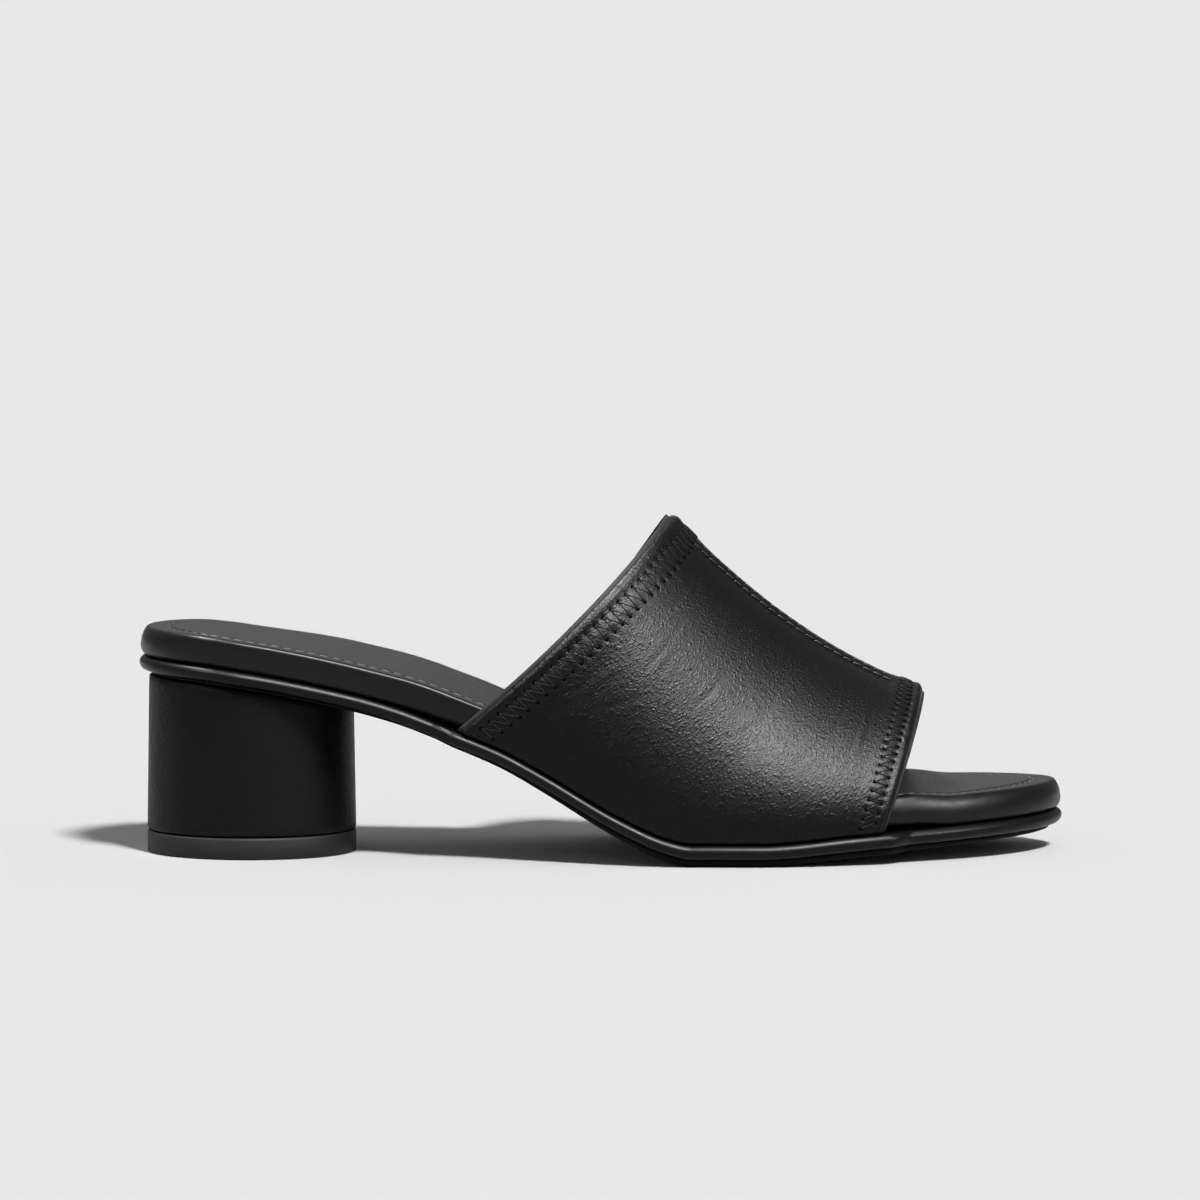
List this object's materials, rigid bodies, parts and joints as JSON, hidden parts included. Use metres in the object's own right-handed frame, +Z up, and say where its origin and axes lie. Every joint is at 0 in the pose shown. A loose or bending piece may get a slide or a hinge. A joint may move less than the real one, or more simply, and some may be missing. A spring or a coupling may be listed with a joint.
{
  "type": "block heel mule",
  "caption": "Black leather slide with an open toe and open back, a soft one-piece vamp, a padded footbed and a round covered block heel.",
  "frame": {"origin": "on the floor, at the centre of the underside of the heel's top piece", "axes": "+X to the toe, +Y to the shoe's left, its inner side, +Z up"},
  "size_m": [0.2443, 0.0895, 0.0888],
  "materials": {
    "upper_leather": "soft creased grain, satin",
    "footbed_leather": "fine grain over padding, satin",
    "rand_leather": "smooth wrapped leather, satin",
    "sole_rubber": "matte",
    "heel_leather": "fine grain, stretched smooth",
    "heel_rubber": "matte moulded"
  },
  "bodies": {
    "root": {"upper": "upper_leather", "footbed": "footbed_leather", "midsole": "rand_leather", "outsole": "sole_rubber", "heel": "heel_leather", "top_piece": "heel_rubber"}
  },
  "joints": []
}
